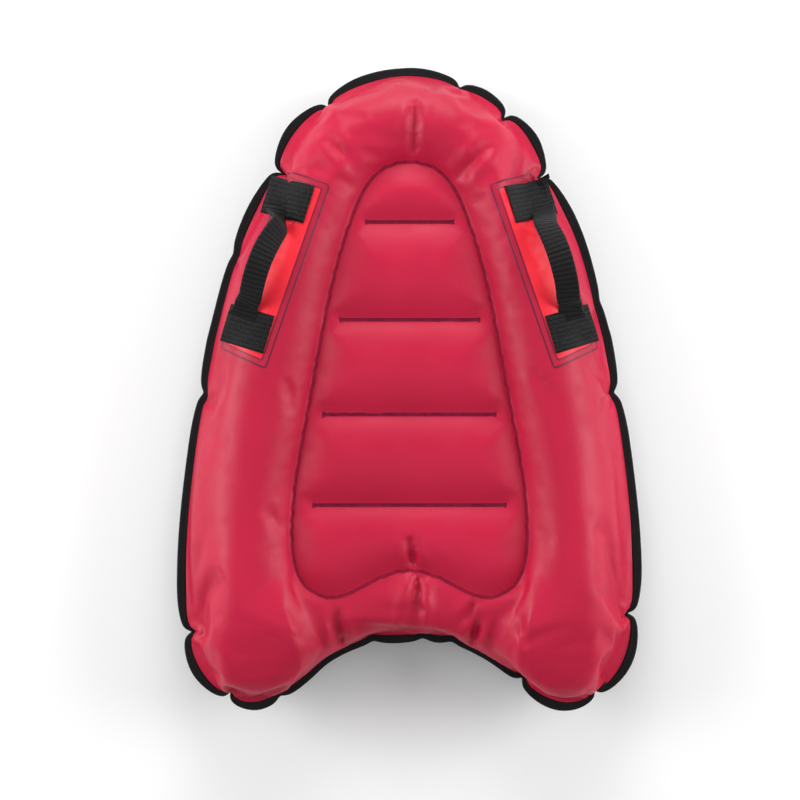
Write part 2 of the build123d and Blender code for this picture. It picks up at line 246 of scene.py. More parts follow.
def cross_weld_of(number):
    """Place along the board and half width of a cross weld, from its baffle."""
    low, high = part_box(f"cross_baffle_{number}")
    return (low[1] + high[1]) / 2, high[0]


RIM = smooth_outline("edge_binding", CURVE_STEP)
RING = smooth_outline("ring_baffle", CURVE_STEP / 2)
CROSSES = [cross_weld_of(number) for number in (1, 2, 3, 4)]


def at_heading(curve, heading):
    """Which point of a closed curve round the origin lies at a heading, in degrees from the nose."""
    turn = np.degrees(np.arctan2(curve[:, 0], curve[:, 1]))
    return int(np.argmin(np.abs((turn - heading + 180) % 360 - 180)))


def place_at(heading, share):
    """A place in plan, at a heading and a share of the way from the ring weld to the rim."""
    near, far = [np.hypot(*curve[at_heading(curve, heading)]) for curve in (RING, RIM)]
    turn = math.radians(heading)
    return (near + (far - near) * share) * np.array([math.sin(turn), math.cos(turn)])


CREASE_LINES = [(place_at(*start), place_at(*end), depth) for start, end, depth in CREASES]


# ---- the air chamber's fabric ----------------------------------------------------------
def gathered(seam):
    """The seam pulled in at its gathers, its points crowded towards each one. Also the gathers' strength."""
    count = len(seam)
    step = norm(seam - np.roll(seam, -1, 0), axis=1).mean()
    pull = np.zeros(count)
    crowd = np.zeros(count)
    lift = np.zeros(count)
    deepest = max(depth for _, depth in GATHERS)
    way = 1
    for heading, depth in GATHERS:
        at = at_heading(seam, heading)
        run = ((np.arange(count) - at + count // 2) % count - count // 2) * step
        bump = 1 / (1 + (run / GATHER_WIDTH) ** 2) ** 1.5
        pull += depth * bump
        wide = run / (2 * GATHER_WIDTH)
        crowd -= depth / deepest * GATHER_PULL * wide * np.exp(-wide ** 2) * 2
        lift += way * GATHER_LIFT * depth * bump
        way = -way
    place = np.arange(count) + crowd / step
    laps = np.arange(-count, 2 * count)
    moved = np.stack([np.interp(place, laps, np.tile(seam[:, axis], 3)) for axis in (0, 1)], 1)
    return moved - outward(seam) * pull[:, None], lift


def stadium(y, half, radius):
    """Closed outline of a cross weld: a thin line with rounded, slightly wider ends."""
    points = []
    steps = max(2, int(round(2 * half / MESH_STEP)))
    for side in (1, -1):
        for k in range(steps + 1):
            x = side * half * (1 - 2 * k / steps)
            points.append((x, y + side * WELD_WIDTH / 2))
        for turn in (45, 90, 135):
            a = math.radians(turn)
            points.append((-side * (half + radius * math.sin(a)), y + side * radius * math.cos(a)))
    return np.array(points)[::-1]


def loose_points(seam):
    """A slightly scattered lattice of points over the plan."""
    rng = np.random.default_rng(MESH_SEED)
    low, high = seam.min(0), seam.max(0)
    rows = []
    for number, y in enumerate(np.arange(low[1], high[1], MESH_STEP * math.sqrt(3) / 2)):
        x = np.arange(low[0] + (number % 2) * MESH_STEP / 2, high[0], MESH_STEP)
        rows.append(np.stack([x, np.full(len(x), y)], 1))
    loose = np.vstack(rows)
    loose += rng.uniform(-SCATTER * MESH_STEP, SCATTER * MESH_STEP, loose.shape)
    return loose[inside(loose, seam)]


def crease_points(loops):
    """A row of points along each crease, clear of the loops."""
    rows = []
    for start, end, _ in CREASE_LINES:
        steps = max(3, int(norm(end - start) / (CLEAR_SHARE * MESH_STEP)))
        line = start + (end - start) * np.linspace(0, 1, steps + 1)[:, None]
        gap = nearest(line, np.vstack([loop for _, loop in loops]))[0]
        rows.append(line[gap > MEET_SHARE * MESH_STEP])
    return rows


def plan_mesh():
    """Triangles over the whole plan, with the seam, the ring weld and the cross welds as edges."""
    seam = evenly(smoothed(evenly(RIM - outward(RIM) * TAPE_WIDTH, CURVE_STEP), SEAM_PASSES), MESH_STEP)
    ring = evenly(RING, MESH_STEP)
    ring_out = ring + outward(ring) * WELD_WIDTH / 2
    ring_in = ring - outward(ring) * WELD_WIDTH / 2
    crosses = [stadium(y, half, WELD_END) for y, half in CROSSES]
    loops = [("seam", seam), ("weld", ring_out), ("weld", ring_in)] + [("weld", cross) for cross in crosses]
    for offset in (WELD_WIDTH / 2 + GUIDE_SHARE * MESH_STEP, -WELD_WIDTH / 2 - GUIDE_SHARE * MESH_STEP):
        loops.append(("free", ring + outward(ring) * offset))
    loops.append(("free", evenly(seam - outward(seam) * GUIDE_SHARE * MESH_STEP, MESH_STEP)))
    turns = 2 * math.pi * np.arange(VALVE_STEPS) / VALVE_STEPS
    mouth = np.array(VALVE[:2]) + NECK_RADIUS * np.stack([np.cos(turns), np.sin(turns)], 1)
    loops.append(("free", mouth))
    loose = loose_points(seam)
    creases = crease_points(loops)
    clear = np.ones(len(loose), bool)
    for _, loop in loops + [("crease", line) for line in creases]:
        clear &= nearest(loose, loop)[0] > CLEAR_SHARE * MESH_STEP
    loose = loose[clear]
    points, edges, tags = [], [], []
    rows = [(tag, loop, len(loop)) for tag, loop in loops]
    rows += [("free", line, len(line) - 1) for line in creases]
    for tag, line, joined in rows:
        first = sum(len(row) for row in points)
        edges += [(first + k, first + (k + 1) % len(line)) for k in range(joined)]
        tags += [tag] * len(line)
        points.append(line)
    points.append(loose)
    tags += ["free"] * len(loose)
    outline = [list(range(len(seam)))]
    made = delaunay_2d_cdt([Vector(p) for p in np.vstack(points)], edges, outline, 1, 1e-7, True)
    plan = np.array([tuple(p) for p in made[0]])
    kind = np.array([tags[source[0]] if source else "free" for source in made[3]])
    faces = np.array([tuple(f) for f in made[2]])
    middles = plan[faces].mean(1)
    faces = faces[inside(middles, seam)]
    a, b, c = plan[faces[:, 0]], plan[faces[:, 1]], plan[faces[:, 2]]
    turn = (b[:, 0] - a[:, 0]) * (c[:, 1] - a[:, 1]) - (b[:, 1] - a[:, 1]) * (c[:, 0] - a[:, 0])
    faces[turn < 0] = faces[turn < 0][:, ::-1]
    middles = plan[faces].mean(1)
    welded = (inside(middles, ring_out) & ~inside(middles, ring_in)).astype(int)
    for cross in crosses:
        welded[inside(middles, cross)] = 2
    in_ring = inside(plan, ring_in) & (nearest(plan, ring_in)[0] > 1e-5)
    return SimpleNamespace(plan=plan, kind=kind, faces=faces, welded=welded, seam=seam, crosses=crosses,
                           mouth=inside(middles, mouth), in_ring=in_ring)


def inflated(fabric, gather):
    """Place in plan, height from the seam's level and lift by the gathers, for each point of the net."""
    seam = fabric.seam
    target, lift = gathered(seam) if gather else (seam, np.zeros(len(seam)))
    plan = fabric.plan
    to_ring, at_ring = nearest(plan, RING)
    to_seam, at_seam = nearest(plan, seam)
    reach = nearest(seam, RING)[0]
    reach = smoothed(reach, REACH_PASSES)[at_seam]
    reach = np.maximum(reach, to_ring + to_seam)
    flare = PANEL_HALF ** 2 + reach ** 2
    radius = flare / (2 * reach)
    crest = np.minimum(MAX_HALF, CREST_LIMIT * radius)
    semi = reach / (1 + np.sqrt(1 - (PANEL_HALF / crest) ** 2))
    start = math.pi - np.arcsin(PANEL_HALF / crest)
    share = to_ring / (to_ring + to_seam + 1e-9)
    angle = start * (1 - share)
    across = reach - semi + semi * np.cos(angle)
    height = crest * np.sin(angle)
    foot, edge = RING[at_ring], seam[at_seam]
    where = foot + (plan - foot) / (to_ring[:, None] + 1e-9) * across[:, None]
    line = foot + (edge - foot) * (across / reach)[:, None]
    near = np.clip(share * PLAN_SWING, 0, 1)[:, None]
    place = where * (1 - near) + line * near
    inner = fabric.in_ring
    welds = np.vstack([RING[::4]] + [cross for cross in fabric.crosses])
    from_weld = nearest(plan, welds)[0]
    rise = PILLOW * (1 - np.exp(-(from_weld / PILLOW_REACH) ** 1.5))
    place[inner] = plan[inner]
    height[inner] = (PANEL_HALF + rise)[inner]
    welded = fabric.kind == "weld"
    place[welded] = plan[welded]
    height[welded] = PANEL_HALF - WELD_SINK
    on_seam = fabric.kind == "seam"
    drag = np.exp(-(to_seam / GATHER_DRAG) ** 2)[:, None]
    place = place + (target - seam)[at_seam] * drag
    place[on_seam] = target[at_seam[on_seam]]
    height[on_seam] = 0
    lifted = lift[at_seam] * drag[:, 0]
    return place, height, lifted


def net(fabric, gather):
    """Points and faces of both skins, the lower's faces last, and which point lies below each upper one."""
    place, height, lifted = inflated(fabric, gather)
    count = len(place)
    own = fabric.kind != "seam"
    below = np.arange(count)
    below[own] = count + np.arange(own.sum())
    top = np.column_stack([place, SEAM_Z + height + lifted])
    bottom = np.column_stack([place, SEAM_Z - height + lifted])[own]
    faces = np.vstack([fabric.faces, below[fabric.faces][:, ::-1]])
    return np.vstack([top, bottom]), faces, below


def plain_object(name, points, faces):
    mesh = bpy.data.meshes.new(name)
    mesh.from_pydata(np.asarray(points).tolist(), [], [tuple(int(i) for i in face) for face in faces])
    mesh.update()
    made = bpy.data.objects.new(name, mesh)
    bpy.context.scene.collection.objects.link(made)
    return made


def puffed(fabric):
    """Both skins after air pressure has drawn the fabric into its seam gathers, by cloth simulation."""
    smooth, faces, below = net(fabric, False)
    target, _, _ = net(fabric, True)
    cloth = plain_object("cloth", smooth, faces)
    cloth.shape_key_add(name="Basis")
    drawn = cloth.shape_key_add(name="drawn")
    drawn.data.foreach_set("co", target.astype(np.float32).ravel())
    for moment, value in ((1, 0.0), (CLOTH_FRAMES // 2, 1.0)):
        drawn.value = value
        drawn.keyframe_insert("value", frame=moment)
    held = cloth.vertex_groups.new(name="held")
    fixed = np.where(np.isin(fabric.kind, ("seam", "weld")))[0]
    held.add([int(i) for i in np.unique(np.r_[fixed, below[fixed]])], 1.0, "REPLACE")
    spare = cloth.vertex_groups.new(name="spare")
    to_seam = nearest(fabric.plan, fabric.seam)[0]
    for index, weight in enumerate(np.exp(-(to_seam / SPARE_REACH) ** 2)):
        if weight > SPARE_LEAST:
            spare.add([index, int(below[index])], float(weight), "REPLACE")
    cloth.modifiers.new("Cloth", "CLOTH")
    modifier = cloth.modifiers["Cloth"]
    settings = modifier.settings
    for name, value in CLOTH_SETTINGS.items():
        setattr(settings, name, value)
    settings.vertex_group_mass = "held"
    settings.vertex_group_shrink = "spare"
    settings.shrink_min = 0.0
    settings.shrink_max = -SPARE_FABRIC
    settings.effector_weights.gravity = 0
    modifier.collision_settings.use_collision = False
    modifier.point_cache.frame_start = 1
    modifier.point_cache.frame_end = CLOTH_FRAMES
    scene = bpy.context.scene
    for moment in range(1, CLOTH_FRAMES + 1):
        scene.frame_set(moment)
    result = cloth.evaluated_get(bpy.context.evaluated_depsgraph_get()).data
    points = np.zeros(len(result.vertices) * 3, np.float32)
    result.vertices.foreach_get("co", points)
    bpy.data.objects.remove(cloth)
    scene.frame_set(1)
    return points.reshape(-1, 3).astype(float), faces


# ---- materials -------------------------------------------------------------------------
class Shader:
    """A material's node tree, built by short calls."""

    def __init__(self, name, colour, roughness, **constants):
        self.material = bpy.data.materials.new(name)
        self.material.use_nodes = True
        self.tree = self.material.node_tree
        self.surface = self.tree.nodes["Principled BSDF"]
        self.surface.inputs["Base Color"].default_value = (*colour, 1)
        self.surface.inputs["Roughness"].default_value = roughness
        for socket, value in constants.items():
            self.surface.inputs[socket.replace("_", " ")].default_value = value
        self.place = self.add("ShaderNodeTexCoord").outputs["Object"]

    def add(self, kind, inputs=None, **settings):
        node = self.tree.nodes.new(kind)
        for key, value in settings.items():
            setattr(node, key, value)
        for key, value in (inputs or {}).items():
            if isinstance(value, bpy.types.NodeSocket):
                self.tree.links.new(value, node.inputs[key])
            else:
                node.inputs[key].default_value = value
        return node

    def math(self, operation, first, second=0.0):
        return self.add("ShaderNodeMath", {0: first, 1: second}, operation=operation).outputs[0]

    def noise(self, scale, detail=3.0, where=None):
        inputs = {"Vector": where or self.place, "Scale": scale, "Detail": detail}
        return self.add("ShaderNodeTexNoise", inputs).outputs["Fac"]

    def ramp(self, value, low, high, low_to=0.0, high_to=1.0):
        inputs = {"Value": value, "From Min": low, "From Max": high, "To Min": low_to, "To Max": high_to}
        return self.add("ShaderNodeMapRange", inputs).outputs["Result"]

    def waves(self, direction, scale, where=None):
        inputs = {"Vector": where or self.place, "Scale": scale}
        return self.add("ShaderNodeTexWave", inputs, bands_direction=direction).outputs["Fac"]

    def mix(self, share, first, second):
        ends = [(*end, 1) if isinstance(end, tuple) else end for end in (first, second)]
        inputs = {"Factor": share, 6: ends[0], 7: ends[1]}
        return self.add("ShaderNodeMix", inputs, data_type="RGBA").outputs[2]

    def bump(self, height, strength, distance):
        inputs = {"Height": height, "Strength": strength, "Distance": distance}
        if self.surface.inputs["Normal"].is_linked:
            inputs["Normal"] = self.surface.inputs["Normal"].links[0].from_socket
        self.feed("Normal", self.add("ShaderNodeBump", inputs).outputs["Normal"])

    def feed(self, socket, value):
        self.tree.links.new(value, self.surface.inputs[socket])

    def scuffs(self, scale, detail, band, rough):
        """Roughness that drifts between two values over a band of noise."""
        self.feed("Roughness", self.ramp(self.noise(scale, detail), *band, *rough))


WEAVE_SCALE = 330.0  # threads per metre are this times the wave texture's own 20 / 2 pi


def toned(colour, factor, lift=0.0):
    """A colour made lighter or darker."""
    return tuple(min(1, part * factor + lift) for part in colour)


def weave(shader, scale, strength, where=None):
    """Plain weave: crossed bands of thread, as bump and as a little shade."""
    crossed = shader.math("MULTIPLY", shader.waves("X", scale, where), shader.waves("Y", scale, where))
    shader.bump(crossed, strength, 0.0003)
    return crossed


def coated_fabric(name, colour, deep, roughness):
    """Coated polyester: fine weave under a satin coat, soft tonal drift and faint scuffs."""
    shader = Shader(name, colour, roughness, Sheen_Weight=0.03, Sheen_Roughness=0.4,
                    Specular_IOR_Level=0.28)
    drift = shader.ramp(shader.noise(7.0, 4.0), 0.35, 0.68)
    threads = weave(shader, WEAVE_SCALE, 0.22)
    fleck = shader.ramp(shader.noise(900.0, 2.0), 0.3, 0.75, 0.0, 0.22)
    tone = shader.mix(drift, deep, colour)
    tone = shader.mix(fleck, tone, toned(colour, 0.72))
    tone = shader.mix(shader.math("MULTIPLY", threads, 0.12), tone, toned(colour, 1.3, 0.01))
    shader.feed("Base Color", tone)
    shader.scuffs(45.0, 6.0, (0.45, 0.75), (roughness - 0.05, roughness + 0.12))
    shader.bump(shader.noise(60.0, 5.0), 0.10, 0.002)
    return shader


RED = (0.530, 0.007, 0.046)
RED_DEEP = (0.450, 0.005, 0.036)
BLACK = (0.012, 0.012, 0.014)
BLACK_DEEP = (0.002, 0.002, 0.0025)
TAPE_LIGHT = (0.010, 0.010, 0.011)
WEBBING_LIGHT = (0.016, 0.016, 0.018)
# Weld colours: darker reds painted in as the shade in the welds' creases.
CROSS_WELD_SHADED_REDS = ((0.11, 0.003, 0.020), (0.19, 0.006, 0.030))
RING_WELD_SHADED_REDS = ((0.20, 0.004, 0.024), (0.31, 0.007, 0.036))
PATCH_REDS = ((0.86, 0.016, 0.036), (0.98, 0.026, 0.046))
PATCH_BORDER = (0.42, 0.008, 0.040)
PATCH_LINE = (0.11, 0.004, 0.026)
BAFFLE_GREYS = ((0.50, 0.49, 0.46), (0.68, 0.67, 0.64))
VALVE_WELD = 0.025  # radius of the weld round the valve's flange
PATCH_LINES = ((0.0016, 0.0006, 0.0013), (0.0082, 0.0005, 0.0012))  # from the border, half width, fade


def red_fabric():
    return coated_fabric("red_fabric", RED, RED_DEEP, 0.44).material


def weld_line(name, dark, light):
    """Fabric pressed by the welding bar, with the bar's fine cross ridges, coloured darker red as painted
    shade in the pressed line's crease.
    """
    shader = Shader(name, light, 0.55, Specular_IOR_Level=0.12)
    ridges = shader.add("ShaderNodeTexVoronoi", {"Vector": shader.place, "Scale": 700.0}).outputs["Distance"]
    shader.bump(ridges, 0.3, 0.0004)
    mottle = shader.ramp(shader.noise(140.0, 3.0), 0.3, 0.7)
    # mottle between two dark reds; their darkness is painted shade of the weld's crease
    shader.feed("Base Color", shader.mix(mottle, dark, light))
    return shader.material


def black_fabric():
    """The underside's fabric, with a pressed weld ring round the valve."""
    shader = coated_fabric("black_fabric", (0.020, 0.020, 0.023), (0.013, 0.013, 0.015), 0.48)
    offset = shader.add("ShaderNodeVectorMath", {0: shader.place, 1: tuple(-VALVE)}, operation="ADD")
    flat = shader.add("ShaderNodeVectorMath", {0: offset.outputs[0], 1: (1, 1, 0)}, operation="MULTIPLY")
    far = shader.add("ShaderNodeVectorMath", {0: flat.outputs[0]}, operation="LENGTH").outputs["Value"]
    band = shader.math("ABSOLUTE", shader.math("SUBTRACT", far, VALVE_WELD))
    shader.bump(shader.ramp(band, 0.0016, 0.0024), 0.6, 0.0008)
    return shader.material


def tape_fabric():
    shader = Shader("tape_fabric", BLACK, 0.62, Sheen_Weight=0.04, Specular_IOR_Level=0.16)
    threads = weave(shader, 260.0, 0.6)
    shader.feed("Base Color", shader.mix(threads, BLACK_DEEP, TAPE_LIGHT))
    shader.scuffs(120.0, 5.0, (0.4, 0.7), (0.52, 0.74))
    return shader.material


def patch_fabric():
    """Thicker glossy fabric with a double line of weld round its border."""
    shader = Shader("patch_fabric", (0.83, 0.022, 0.045), 0.42, Specular_IOR_Level=0.3)
    edge = shader.add("ShaderNodeAttribute", attribute_name="from_edge").outputs["Fac"]
    welds = []
    for place, half, fade in PATCH_LINES:
        far = shader.math("ABSOLUTE", shader.math("SUBTRACT", edge, place))
        welds.append(shader.ramp(far, half, fade, 1.0, 0.0))
    lines = shader.math("MAXIMUM", *welds)
    border = shader.ramp(edge, 0.0076, 0.0084, 1.0, 0.0)
    drift = shader.ramp(shader.noise(18.0, 4.0), 0.35, 0.7)
    tone = shader.mix(drift, *PATCH_REDS)
    tone = shader.mix(border, tone, PATCH_BORDER)
    tone = shader.mix(shader.math("MULTIPLY", lines, 0.85), tone, PATCH_LINE)
    shader.feed("Base Color", tone)
    shader.scuffs(60.0, 5.0, (0.4, 0.7), (0.38, 0.52))
    weave(shader, WEAVE_SCALE, 0.15)
    shader.bump(lines, 0.25, -0.0004)
    return shader.material


def webbing_fabric():
    """Ribbed woven webbing: cross ribs along its length and fine warp threads."""
    shader = Shader("webbing_fabric", BLACK, 0.66, Sheen_Weight=0.05, Sheen_Roughness=0.5,
                    Specular_IOR_Level=0.18)
    lay = shader.add("ShaderNodeAttribute", attribute_name="lay").outputs["Vector"]
    ribs = shader.waves("Y", 62.0, lay)
    warp = shader.waves("X", 190.0, lay)
    shader.bump(ribs, 0.9, 0.0006)
    shader.bump(warp, 0.45, 0.0003)
    relief = shader.math("MULTIPLY", ribs, warp)
    shader.feed("Base Color", shader.mix(relief, BLACK_DEEP, WEBBING_LIGHT))
    shader.scuffs(300.0, 4.0, (0.3, 0.7), (0.56, 0.78))
    return shader.material


def thread_fibre():
    shader = Shader("thread_fibre", (0.030, 0.030, 0.034), 0.5, Sheen_Weight=0.05, Specular_IOR_Level=0.25)
    twist = shader.waves("DIAGONAL", 420.0)
    shader.bump(twist, 0.6, 0.0002)
    shader.feed("Base Color", shader.mix(twist, (0.004, 0.004, 0.005), (0.026, 0.026, 0.029)))
    return shader.material


def baffle_fabric():
    shader = Shader("baffle_fabric", (0.62, 0.61, 0.58), 0.7, Sheen_Weight=0.2)
    threads = weave(shader, 280.0, 0.5)
    shader.feed("Base Color", shader.mix(threads, *BAFFLE_GREYS))
    return shader.material


def moulded(name, colour, roughness, grain):
    """Moulded plastic or rubber: fine spark-eroded grain, slight tone drift and handling marks."""
    shader = Shader(name, colour, roughness)
    shader.bump(shader.noise(2400.0, 2.0), grain, 0.0002)
    drift = shader.ramp(shader.noise(90.0, 4.0), 0.35, 0.7)
    shader.feed("Base Color", shader.mix(drift, toned(colour, 0.8), toned(colour, 1.25)))
    shader.scuffs(260.0, 5.0, (0.4, 0.72), (roughness - 0.06, roughness + 0.1))
    return shader.material


def finish_of(made, *materials):
    made.data.materials.clear()
    for material in materials:
        made.data.materials.append(material)


# ---- fabric pieces ---------------------------------------------------------------------
def bands(rows, count, closed=False, first=0):
    """Four-sided faces between neighbouring rows of points, each row a loop of its own."""
    quads = []
    for i in range(rows if closed else rows - 1):
        low, high = first + i * count, first + (i + 1) % rows * count
        for k in range(count):
            j = (k + 1) % count
            quads.append((low + k, low + j, high + j, high + k))
    return quads


def soft(made, levels=1):
    for face in made.data.polygons:
        face.use_smooth = True
    if levels:
        modifier = made.modifiers.new("fine", "SUBSURF")
        modifier.levels = modifier.render_levels = levels
        bpy.context.view_layer.update()
        fine = bpy.data.meshes.new_from_object(made.evaluated_get(bpy.context.evaluated_depsgraph_get()))
        made.modifiers.clear()
        made.data = fine
    return made


def piece_of(name, points, faces):
    """A mesh of only the points its faces use."""
    used, renamed = np.unique(faces, return_inverse=True)
    return plain_object(name, points[used], renamed.reshape(faces.shape))


def creased(points):
    """Short creases in the upper skin, each with the fabric raised a little on both sides of it."""
    plan = points[:, :2]
    upper = points[:, 2] > SEAM_Z + 0.25 * PANEL_HALF
    free = 1 - np.exp(-(nearest(plan, RING[::3])[0] / CREASE_CLEAR) ** 2)
    for start, end, depth in CREASE_LINES:
        way = end - start
        share = ((plan - start) @ way) / (way @ way)
        foot = start + np.clip(share, 0, 1)[:, None] * way
        far = norm(plan - foot, axis=1)
        beyond = np.maximum(np.abs(share - 0.5) - 0.5, 0) * norm(way)
        fullness = 0.45 + 0.55 * np.clip(1 - np.abs(share - 0.35) * 1.2, 0, 1)
        fade = np.exp(-(beyond / CREASE_FADE) ** 2) * fullness
        shoulder = np.exp(-((far - CREASE_SHOULDER) / SHOULDER_HALF) ** 2)
        shape = np.exp(-far / CREASE_HALF) - SHOULDER_RISE * shoulder
        points[:, 2] -= upper * free * CREASE_STRENGTH * depth * fade * shape
    return points


def eased(points):
    """The lower skin rests flat on the floor, and lies flat where the valve's flange holds it."""
    far = np.hypot(points[:, 0] - VALVE.x, points[:, 1] - VALVE.y)
    share = np.clip((far - VALVE_FLAT) / (VALVE_EASE - VALVE_FLAT), 0, 1)
    share = share * share * (3 - 2 * share)
    lower = points[:, 2] < SEAM_Z - 0.5 * PANEL_HALF
    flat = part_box("bottom_panel")[0][2]
    points[lower, 2] = (flat * (1 - share) + points[:, 2] * share)[lower]
    points[:, 2] = np.maximum(points[:, 2], CAD_BOX[0][2] + FLOOR_GAP)
    return points


def surface_tree(*objects):
    """A search tree over finished pieces, for laying others on them."""
    points, faces = [], []
    for made in objects:
        first = len(points)
        points += [made.matrix_world @ vertex.co for vertex in made.data.vertices]
        faces += [[first + i for i in face.vertices] for face in made.data.polygons]
    return BVHTree.FromPolygons(points, faces)


def drop(tree, x, y):
    """The highest point of a surface at a place in plan, or past its edge the nearest, and its normal."""
    hit, facing, _, _ = tree.ray_cast(Vector((x, y, 1)), Vector((0, 0, -1)))
    if hit is None:
        hit, facing, _, _ = tree.find_nearest(Vector((x, y, SEAM_Z + MAX_HALF)))
    return hit, facing


# ---- build: skins ----------------------------------------------------------------------
fabric = plan_mesh()
points, faces = puffed(fabric)
points = creased(eased(points))
half_count = len(fabric.faces)

top_fabric = piece_of("top_fabric", points, faces[:half_count])
cross_weld = weld_line("cross_weld", *CROSS_WELD_SHADED_REDS)
ring_weld = weld_line("ring_weld", *RING_WELD_SHADED_REDS)
finish_of(top_fabric, red_fabric(), ring_weld, cross_weld)
top_fabric.data.polygons.foreach_set("material_index", fabric.welded.astype(np.int32))
soft(top_fabric)
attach(top_fabric, "board")
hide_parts("top_skin", "top_panel")

bottom_fabric = soft(piece_of("bottom_fabric", points, faces[half_count:][~fabric.mouth]))
finish_of(bottom_fabric, black_fabric())
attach(bottom_fabric, "board")
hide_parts("bottom_skin", "bottom_panel")

TOP = surface_tree(top_fabric)


# ---- edge tape -------------------------------------------------------------------------
TAPE_PINCH = 0.6  # share of its width that the tape loses at the deepest gathers
PINCH_DEPTH = 0.012  # depth of gather that pinches it so far
TAPE_COVER = 0.0022  # how far the tape runs in over the skins


def edge_tape():
    """Tape folded over the seam's lips, following the seam in and out of its gathers."""
    on_seam = np.where(fabric.kind == "seam")[0]
    order = nearest(fabric.seam, fabric.plan[on_seam])[1]
    line = points[on_seam[order]]
    plan = line[:, :2]
    away = outward(plan)
    away = smoothed(away, 3)
    away /= norm(away, axis=1)[:, None]
    depth = norm(plan - fabric.seam, axis=1)
    width = TAPE_WIDTH * (1 - TAPE_PINCH * np.clip(depth / PINCH_DEPTH, 0, 1))
    rows = [(-TAPE_COVER / TAPE_WIDTH, 0.9), (0.15, 1.0), (0.28, 0.82), (0.32, 0.82)]
    rows += [(0.45, 1.0), (0.85, 0.95), (0.97, 0.6), (1.0, 0.0)]
    rows += [(across, -height) for across, height in rows[-2::-1]]
    rings = []
    for across, height in rows:
        offset = away * (across * width)[:, None]
        rings.append(np.column_stack([plan + offset, line[:, 2] + height * TAPE_THICK / 2]))
    quads = bands(len(rows), len(line), closed=True)
    return soft(plain_object("edge_tape", np.vstack(rings), quads))


tape = edge_tape()
finish_of(tape, tape_fabric())
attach(tape, "board")
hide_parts("edge_binding")


# ---- handle patches --------------------------------------------------------------------
PATCH_STEP = 0.0016
PATCH_THICK = 0.0006
PATCH_ROUND = 0.005  # corner radius
PATCH_BEVEL = 0.0006
PATCH_TRIM = 0.0002  # past the border, where faces are left out


def from_line(place, first, second):
    """Distance in plan from a place to the line through two others."""
    way, off = second - first, place - first
    return abs(way[0] * off[1] - way[1] * off[0]) / norm(way)


def attribute(made, name, kind, values):
    layer = made.data.attributes.new(name, kind, "POINT")
    key = "value" if kind == "FLOAT" else "vector"
    layer.data.foreach_set(key, np.asarray(values, np.float32).ravel())


def corners_of(node):
    """The four plan corners of a slanted four-sided node, in order."""
    plan = vertices_of(node)[:, :2]
    ends = [plan[:, 0].argmin(), plan[:, 1].argmin(), plan[:, 0].argmax(), plan[:, 1].argmax()]
    return plan[ends]


def handle_patch(side):
    """Reinforcing patch laid on the tube, with its distance from the border kept for the material."""
    a, b, c, d = corners_of(f"{side}_handle_patch")
    across = max(2, int(norm(b - a) / PATCH_STEP))
    along = max(2, int(norm(d - a) / PATCH_STEP))
    grid, edge = [], []
    sides = [(a, b), (b, c), (c, d), (d, a)]
    for i in range(along + 1):
        for j in range(across + 1):
            u, v = j / across, i / along
            place = a * (1 - u) * (1 - v) + b * u * (1 - v) + c * u * v + d * (1 - u) * v
            close, next_close = sorted(from_line(place, *ends) for ends in sides)[:2]
            if close < PATCH_ROUND and next_close < PATCH_ROUND:
                close = PATCH_ROUND - math.hypot(PATCH_ROUND - close, PATCH_ROUND - next_close)
            edge.append(close)
            hit, facing = drop(TOP, *place)
            rise = PATCH_THICK * min(1.0, max(0.0, close) / PATCH_BEVEL)
            grid.append(hit + facing * rise)
    wide = across + 1
    quads = []
    for i in range(along):
        for j in range(across):
            corner = (i * wide + j, i * wide + j + 1, (i + 1) * wide + j + 1, (i + 1) * wide + j)
            if min(edge[k] for k in corner) >= -PATCH_TRIM:
                quads.append(corner)
    quads = np.array(quads)
    used = np.unique(quads)
    made = piece_of(f"{side}_patch", np.array(grid), quads)
    attribute(made, "from_edge", "FLOAT", np.maximum(np.array(edge)[used], 0))
    turn_up(made)
    return soft(made, 0)


def turn_up(made):
    """Makes an open sheet's faces look up."""
    normal = sum((face.normal for face in made.data.polygons), Vector())
    if normal.z < 0:
        made.data.flip_normals()


PATCH_MATERIAL = patch_fabric()
PATCHES = {}
for side in ("left", "right"):
    patch = handle_patch(side)
    finish_of(patch, PATCH_MATERIAL)
    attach(patch, "board")
    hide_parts(f"{side}_handle_patch")
    PATCHES[side] = patch
COVERED = surface_tree(top_fabric, *PATCHES.values())


# ---- webbing ---------------------------------------------------------------------------
WEBBING_WIDTH = 0.050
WEBBING_THICK = 0.0020
TAB_LENGTH = 0.042  # of a sewn end, along the strap
TAB_STEPS = 22
TAB_CUT = 0.35  # thickness left at its cut ends
TAB_SIT = 0.62  # its middle above the patch, in thicknesses
SAG_LIMIT = 0.62  # steepest that stiff webbing bends down the tube
STRAP_WIDTH = 0.0255
STRAP_THICK = 0.0044
WEBBING_MATERIAL = webbing_fabric()
THREAD_MATERIAL = thread_fibre()


def tab_centre(node):
    """Centre of a sewn end in plan."""
    plan = vertices_of(node)[:, :2]
    return (plan.min(0) + plan.max(0)) / 2


def ribbon(name, rows, lay):
    """A closed band from rows of points, each row a loop round the band, with closed ends."""
    count = len(rows[0])
    ends = [tuple(range(count))[::-1], tuple(range((len(rows) - 1) * count, len(rows) * count))]
    made = plain_object(name, np.vstack(rows), bands(len(rows), count) + ends)
    attribute(made, "lay", "FLOAT_VECTOR", lay)
    return made


def recalculated(made):
    work = bmesh.new()
    work.from_mesh(made.data)
    bmesh.ops.recalc_face_normals(work, faces=work.faces)
    work.to_mesh(made.data)
    work.free()
    return made


